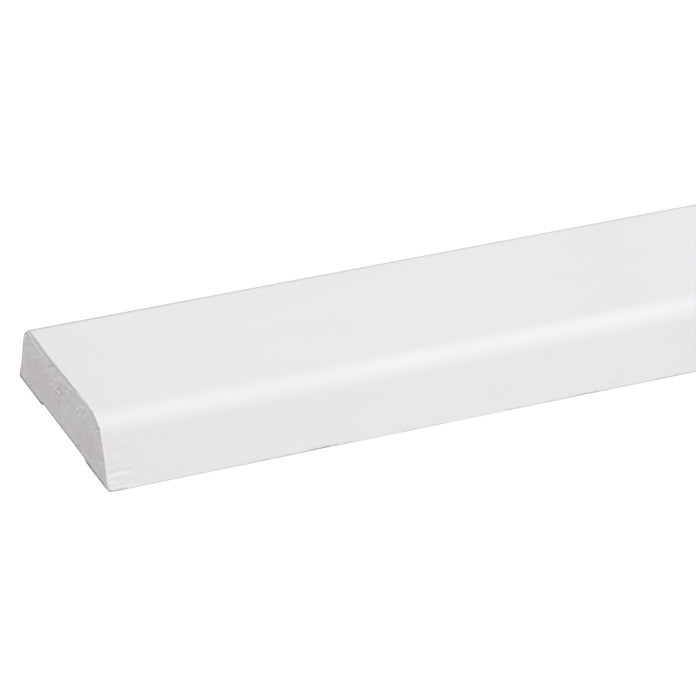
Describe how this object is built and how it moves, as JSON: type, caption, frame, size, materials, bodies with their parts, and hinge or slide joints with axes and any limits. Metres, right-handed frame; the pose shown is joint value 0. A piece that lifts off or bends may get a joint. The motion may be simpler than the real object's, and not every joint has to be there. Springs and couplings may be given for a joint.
{
  "type": "cover strip",
  "caption": "Flat painted timber cover strip with leaning sides, a large rounding along its front edge and a shallow relief in its back.",
  "frame": {"origin": "middle of the back, on the surface the strip lies on", "axes": "+X along the strip, +Y from the front edge with the large rounding to the rear edge, +Z out of the back through the face"},
  "size_m": [0.175, 0.058, 0.015],
  "materials": {
    "white_paint": "satin white paint over softwood"
  },
  "bodies": {
    "root": {"cover_strip": "white_paint"}
  },
  "joints": []
}
